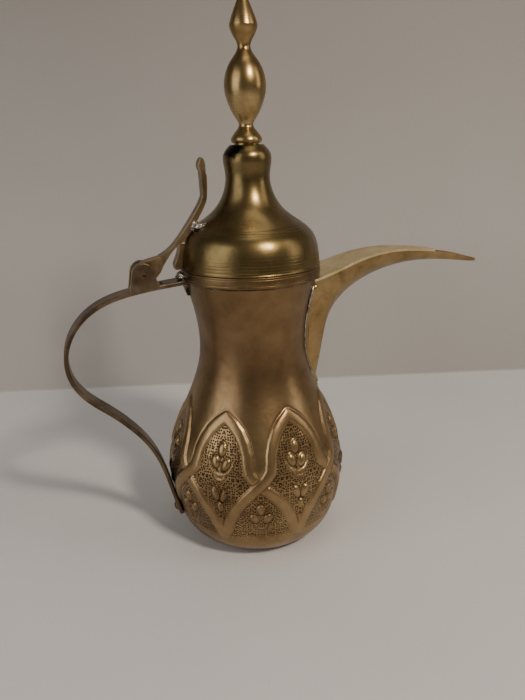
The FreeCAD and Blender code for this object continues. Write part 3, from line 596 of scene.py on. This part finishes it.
def pierce(piece):
    """Punches the strainer holes through the neck behind the spout."""
    punches = strainer_punches()
    modifier = piece.modifiers.new("pierce", "BOOLEAN")
    modifier.operation = "DIFFERENCE"
    modifier.solver = "EXACT"
    modifier.object = punches
    graph = bpy.context.evaluated_depsgraph_get()
    made = bpy.data.meshes.new_from_object(piece.evaluated_get(graph))
    piece.modifiers.clear()
    piece.data = made
    bpy.data.objects.remove(punches)


def make_dome():
    """The spun lid: a dome with turned lines, drawn up into a stem with a flat top."""
    curve = smooth_curve(LID_PROFILE, 0.16)
    along = np.gradient(curve, axis=0)
    along /= np.linalg.norm(along, axis=1)[:, None]
    inward = np.stack([-along[:, 1], along[:, 0]], axis=1)
    depth = np.zeros(len(curve))
    for height, deep, half in LID_GROOVES:
        depth += deep * np.exp(-((curve[:, 1] - height) / half) ** 2)
    rim = 0.30 * np.exp(-((curve[:, 1] - 164.0) / 0.35) ** 2)
    grooved = curve + inward * (depth - rim)[:, None]
    # rows stay close together only where lines are cut
    cut = (curve[:, 1] < 173.5) | ((curve[:, 1] > 181.5) & (curve[:, 1] < 187.0))
    keep = np.where(cut)[0]
    keep = np.union1d(keep, np.append(np.arange(0, len(curve), 7), len(curve) - 1))
    grooved = grooved[keep]
    inner = offset_profile(smooth_curve(LID_PROFILE, 2.4), SHEET)
    inner = inner[(inner[:, 1] > 167.0) & (inner[:, 1] < 222.5)][::-1]
    top = np.array([(8.5, 226.5), (STUD_R, 226.5), (STUD_R, 225.5), (8.5, 225.5), (11.5, 221.6)])
    foot = np.array([(37.5, 164.6), (37.5, 163.6)])
    loop = np.concatenate([grooved, top, inner, foot])
    return turned_piece("spun_dome", loop, 168, SPUN_BRASS, "lid", "lid_dome")


def make_collar():
    """The strip round the mouth, its edges rounded over and a line turned near each."""
    side = []
    for step in range(41):
        z = 157.8 + (163.0 - 157.8) * step / 40.0
        bow = 0.10 * (1.0 - ((z - 160.4) / 2.6) ** 2)
        line = sum(0.16 * math.exp(-((z - level) / 0.18) ** 2) for level in (158.9, 162.1))
        side.append((38.6 + bow - line, z))
    low = [(37.2, 157.4), (38.1, 157.4), (38.4, 157.5)]
    high = [(38.4, 163.3), (38.1, 163.4), (36.2, 163.4), (36.2, MOUTH_TOP), (37.2, MOUTH_TOP)]
    return turned_piece("collar_strip", np.array(low + side + high), 160, COLLAR_BRASS, "pot",
                        "collar_band")


def sweep(name, path, across, lift, section, material, body):
    """A closed section carried along a path; each frame gives its across and lift directions."""
    count, around = len(path), section.shape[-2]
    section = np.broadcast_to(section, (count, around, 2))
    verts = (path[:, None, :] + across[:, None, :] * section[..., :1]
             + lift[:, None, :] * section[..., 1:])
    faces = turned_faces(count, around, False).tolist()
    faces.append(list(range(around)))
    faces.append([(count - 1) * around + k for k in reversed(range(around))])
    piece = new_piece(name, verts.reshape(-1, 3) * MM, faces, material, body)
    work = bmesh.new()
    work.from_mesh(piece.data)
    bmesh.ops.recalc_face_normals(work, faces=work.faces)
    work.to_mesh(piece.data)
    work.free()
    return piece


def oval(wide, thick, count=14):
    """A section between an ellipse and a rounded oblong."""
    turn = np.arange(count) * 2.0 * math.pi / count
    square = 2.0 / 3.0
    return np.stack([wide / 2 * np.sign(np.cos(turn)) * np.abs(np.cos(turn)) ** square,
                     thick / 2 * np.sign(np.sin(turn)) * np.abs(np.sin(turn)) ** square], axis=1)


def root_line():
    """Where the spout meets the body, down one side, round the tip and up the other."""
    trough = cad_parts["spout_trough"]
    spots = np.array([trough.matrix_world @ v.co for v in trough.data.vertices]) / MM
    wall = np.interp(spots[:, 2], OUTER[:, 1], OUTER[:, 0])
    near = spots[np.abs(np.hypot(spots[:, 0], spots[:, 1]) - wall) < 0.6]
    low, high = near[:, 2].min(), 152.5
    levels = np.linspace(low + 1.0, high, 24)
    wide, deep = [], []
    for level in levels:
        close = near[np.abs(near[:, 2] - level) < 2.2]
        if len(close):
            wide.append(np.abs(close[:, 1]).max())
            deep.append(math.sqrt((level - low) / (high - low)))
    wide, deep = np.array(wide), np.array(deep)
    # a smooth half width, nothing at the lower tip, fitted through the mesh's own points
    powers = np.stack([deep, deep ** 2, deep ** 3], axis=1)
    fit = np.linalg.lstsq(powers, wide, rcond=None)[0]
    step = np.linspace(0.0, 1.0, 44)
    half = np.stack([step, step ** 2, step ** 3], axis=1) @ fit
    z = low + (high - low) * step ** 2
    reach = np.interp(z, OUTER[:, 1], OUTER[:, 0])
    side = np.stack([np.sqrt(reach ** 2 - half ** 2), half, z], axis=1)
    mirror = side * np.array([1.0, -1.0, 1.0])
    return np.concatenate([mirror[::-1], side[1:]])


def root_frames(path):
    """Directions along the wall away from the spout, and out of the wall, at each place."""
    along = np.gradient(path, axis=0)
    along /= np.linalg.norm(along, axis=1)[:, None]
    slope = np.gradient(OUTER[:, 0], OUTER[:, 1])
    lean = np.interp(path[:, 2], OUTER[:, 1], slope)
    out = path * np.array([1.0, 1.0, 0.0])
    out /= np.linalg.norm(out, axis=1)[:, None]
    out[:, 2] = -lean
    out /= np.linalg.norm(out, axis=1)[:, None]
    away = np.cross(out, along)
    at_keel = np.abs(path[:, 1]) < 1.0
    side = away[:, 1] * path[:, 1] + 1e-6 - at_keel * away[:, 2]
    away *= np.sign(side)[:, None]
    return away, out


def make_spout_root():
    """The spout's turned-out edge standing along the body, and the tin wiped beside it."""
    path = root_line()
    away, out = root_frames(path)
    rim = sweep("spout_turned_edge", path + away * 0.75 + out * 0.75, away, out,
                oval(1.7, 2.1), FORMED_BRASS, "pot")
    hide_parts("spout_flange")
    step = np.arange(len(path))
    uneven = 1.0 + 0.16 * np.sin(step * 0.9) + 0.10 * np.sin(step * 2.3 + 1.0)
    uneven = uneven * (0.75 + 0.85 * smoothstep(118.0, 150.0, path[:, 2]))
    section = oval(3.0, 0.9)[None, :, :] * uneven[:, None, None]
    smear = sweep("spout_solder_run", path + away * (1.2 + 1.35 * uneven)[:, None] + out * 0.12,
                  away, out, section, SOLDER, "pot")
    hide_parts("spout_solder")


def make_collar_fillet():
    """Old tin under the collar's overhang, uneven along its lower edge, on both sides."""
    for name, first, last in (("collar_tin_near", -162.0, -34.0), ("collar_tin_far", 34.0, 162.0)):
        turn = np.radians(np.linspace(first, last, 260))
        out = np.stack([np.cos(turn), np.sin(turn), np.zeros(len(turn))], axis=1)
        up = np.zeros_like(out)
        up[:, 2] = 1.0
        drop = 0.80 + 0.12 * np.sin(turn * 17.0) * np.sin(turn * 5.0)
        shape = np.array([(-0.3, 0.0), (0.62, 0.0), (0.44, -0.36), (0.20, -0.72), (0.06, -1.0),
                          (-0.3, -1.0)])
        section = np.broadcast_to(shape, (len(turn), 6, 2)).copy()
        section[..., 1] *= drop[:, None]
        path = out * 37.15
        path[:, 2] = 157.4
        tin = sweep(name, path, out, up, section, OLD_SOLDER, "pot")
        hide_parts("collar_solder")


def solder_lump(name, centre, reach, node, body, phase, material):
    """A lump left by the iron: a rounded drop pulled out of shape, with facets."""
    rows, columns = 22, 34
    verts = [(0.0, 0.0, -1.0)]
    for row in range(1, rows):
        tip = math.pi * row / rows - math.pi / 2
        for column in range(columns):
            turn = 2 * math.pi * column / columns
            verts.append((math.cos(tip) * math.cos(turn), math.cos(tip) * math.sin(turn),
                          math.sin(tip)))
    verts.append((0.0, 0.0, 1.0))
    verts = np.array(verts)
    swell = (1.0 + 0.13 * np.sin(verts @ (4.1, 2.3, 3.7) + phase)
             + 0.08 * np.sin(verts @ (-7.3, 9.1, 5.2) + 2.0 * phase)
             + 0.04 * np.sin(verts @ (15.0, -13.0, 17.0) + phase))
    verts = verts * swell[:, None] * np.array(reach) + np.array(centre)
    last = len(verts) - 1
    faces = []
    for column in range(columns):
        nxt = (column + 1) % columns
        faces.append((0, 1 + nxt, 1 + column))
        faces.append((last, last - columns + column, last - columns + nxt))
    faces += (turned_faces(rows - 1, columns, False) + 1).tolist()
    piece = new_piece(name, verts * MM, faces, material, body)
    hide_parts(node)
    return piece


def dress(node, material):
    """Gives a carried-over part its finish."""
    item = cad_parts[node]
    item.data.materials.clear()
    item.data.materials.append(material)


pierce(make_belly())
make_dome()
make_collar()
make_spout_root()
make_collar_fillet()
# name, centre and reach in mm, the CAD part it stands for, body, phase, finish
for lump in (
    ("handle_tin_upper", (-39.6, -1.6, 160.2), (2.6, 4.0, 1.7), "handle_solder", "pot", 0.4, SOLDER),
    ("handle_tin_side", (-38.3, -5.0, 158.2), (1.5, 1.5, 1.6), "handle_solder", "pot", 1.9, OLD_SOLDER),
    ("handle_tin_far", (-39.0, 3.6, 159.6), (2.0, 2.4, 1.8), "handle_solder", "pot", 3.1, SOLDER),
    ("lever_tin_main", (-30.6, -2.6, 186.2), (2.6, 2.8, 3.0), "lever_solder", "lid", 0.9, SOLDER),
    ("lever_tin_run", (-27.8, -5.6, 186.6), (3.4, 2.6, 1.9), "lever_solder", "lid", 2.2, SOLDER),
    ("lever_tin_far", (-31.2, 2.6, 185.6), (2.4, 2.4, 2.4), "lever_solder", "lid", 4.0, SOLDER),
):
    solder_lump(*lump)
for node, material in {
    "base_plate": FORMED_BRASS,
    "spout_trough": FORMED_BRASS,
    "spout_cover": PAINTED_HIGHLIGHT_FILED_BRASS,
    "handle": FORGED_BRASS,
    # the cover plate takes the brass whose pale colour is a painted highlight
    "handle_saddle": FORGED_BRASS,
    "handle_rivet": FORGED_BRASS,
    "hinge_pin": PIN_BRASS,
    "lid_skirt": SPUN_BRASS,
    "lid_strap": LEVER_BRASS,
    "thumb_lever": LEVER_BRASS,
    "finial": TURNED_BRASS,
    "finial_stud": PIN_BRASS,
    "finial_washer": PIN_BRASS,
    "finial_nut": PIN_BRASS,
}.items():
    dress(node, material)


# ------------------------------------------------------------------ stage, light, camera

VIEW_TURN = 16.0          # degrees that the spout points away from straight across the view
WALL_TURN = 3.0           # degrees that the wall runs away from the viewer to the right


def make_stage():
    """A pale table that rises into a pale wall well behind the pot."""
    table = painted_board("painted_table", "#d6d6d7", "#c6c5c5", "#c6c5c5")
    # the wall's last colour is the painted shade towards its top
    wall = painted_board("painted_wall", "#b0adaa", "#a19d98", "#77726d")
    wide, near, far, top = 3.0, -1.6, 0.235, 1.6
    profile = [(near, 0.0), (far - 0.0012, 0.0), (far, 0.0012), (far + 0.01, top)]
    verts, faces = [], []
    for y, z in profile:
        verts += [(-wide, y, z), (wide, y, z)]
    for index in range(len(profile) - 1):
        a = index * 2
        faces.append((a, a + 1, a + 3, a + 2))
    mesh = bpy.data.meshes.new("table_and_wall")
    mesh.from_pydata(verts, [], faces)
    mesh.materials.append(table)
    mesh.materials.append(wall)
    mesh.polygons.foreach_set("material_index", [0, 1, 1])
    mesh.transform(Matrix.Rotation(math.radians(WALL_TURN - VIEW_TURN), 4, "Z"))
    stage = bpy.data.objects.new("table_and_wall", mesh)
    bpy.context.scene.collection.objects.link(stage)


def area_light(name, place, target, size, power, colour):
    """A flat lamp, its width and height in metres and its power in watts."""
    data = bpy.data.lights.new(name, "AREA")
    data.shape = "RECTANGLE"
    data.size, data.size_y = size
    data.energy = power
    data.color = linear(colour)[:3]
    light = bpy.data.objects.new(name, data)
    light.location = place
    light.rotation_mode = "QUATERNION"
    light.rotation_quaternion = (Vector(target) - Vector(place)).to_track_quat("-Z", "Y")
    bpy.context.scene.collection.objects.link(light)


def seen(across, depth, height):
    """A place given across and into the view, in the object's own axes."""
    turn = math.radians(VIEW_TURN)
    return Vector((across * math.cos(turn) + depth * math.sin(turn),
                   -across * math.sin(turn) + depth * math.cos(turn), height))


def from_view(azimuth, elevation, distance, height=0.18):
    """A place seen from the pot at an angle right of the viewer and above the level."""
    a, e = math.radians(azimuth), math.radians(elevation)
    return seen(distance * math.sin(a) * math.cos(e), -distance * math.cos(a) * math.cos(e),
                height + distance * math.sin(e))


def make_light():
    """A small warm lamp at the right, a wide cool window at the left, and weak fill."""
    middle = (0.0, 0.0, 0.15)
    area_light("lamp", from_view(36, 40, 1.0), middle, (0.12, 0.14), 7.5, "#fff2e0")
    area_light("window", from_view(-52, 16, 1.0), (0.0, 0.0, 0.08), (0.7, 0.9), 3.9, "#f4f2f2")
    area_light("right_fill", from_view(80, 22, 1.1), middle, (0.35, 0.8), 1.9, "#fff4ea")
    area_light("ceiling", seen(0.10, 0.02, 0.85), (0.08, 0.0, 0.16), (0.5, 0.3), 0.7, "#fff6e6")
    world = bpy.data.worlds.new("room")
    world.use_nodes = True
    tree = world.node_tree
    tree.nodes.clear()
    back = add_node(tree, "ShaderNodeBackground", {"Color": linear("#bfbab4"), "Strength": 0.24})
    add_node(tree, "ShaderNodeOutputWorld", {"Surface": back})
    bpy.context.scene.world = world


def make_camera():
    """The camera, looking down at the pot and held very slightly out of level."""
    data = bpy.data.cameras.new("camera")
    data.sensor_width = 36.0
    data.lens = 32.9
    camera = bpy.data.objects.new("camera", data)
    down, roll = math.radians(18.87), math.radians(1.374)
    place = seen(0.0057, -0.3525, 0.2329)
    forward = seen(0.0, math.cos(down), -math.sin(down))
    right = seen(1.0, 0.0, 0.0)
    up = right.cross(forward)
    rolled_right = right * math.cos(roll) - up * math.sin(roll)
    rolled_up = right * math.sin(roll) + up * math.cos(roll)
    turn = Matrix((rolled_right, rolled_up, -forward)).transposed()
    camera.matrix_world = Matrix.Translation(place) @ turn.to_4x4()
    data.clip_start, data.clip_end = 0.01, 20.0
    bpy.context.scene.collection.objects.link(camera)
    bpy.context.scene.camera = camera


make_stage()
make_light()
make_camera()
